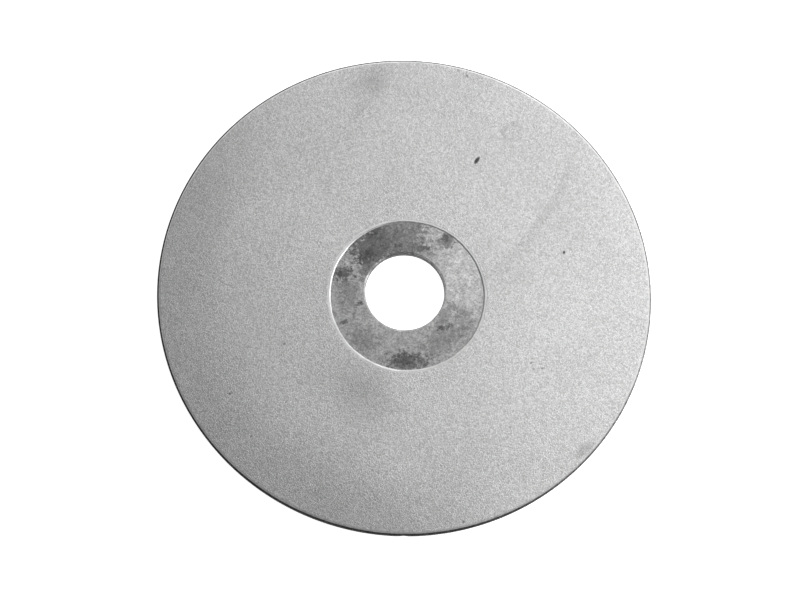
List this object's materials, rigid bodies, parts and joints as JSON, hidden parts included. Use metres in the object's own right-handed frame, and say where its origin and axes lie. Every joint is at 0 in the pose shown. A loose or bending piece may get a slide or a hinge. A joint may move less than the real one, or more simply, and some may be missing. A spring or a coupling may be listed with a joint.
{
  "type": "diamond grinding wheel",
  "caption": "Flat round lapidary grinding wheel: a thin steel disc with a central arbor bore, a bare ring round it and a plated diamond-grit working face.",
  "frame": {"origin": "on the spin axis, in the plane of the back face", "axes": "+Z along the spin axis, out of the diamond-plated working face; +X and +Y in the plane of the back face"},
  "size_m": [0.1, 0.1, 0.002],
  "materials": {
    "bare_steel": "ground steel, stained and dull on the bare ring",
    "plated_nickel": "matte electroplated nickel",
    "diamond_layer": "coarse and matte, a single layer of fine diamond crystals in nickel"
  },
  "bodies": {
    "root": {"steel_core": "bare_steel", "nickel_bond": "plated_nickel", "diamond_grit": "diamond_layer"}
  },
  "joints": []
}
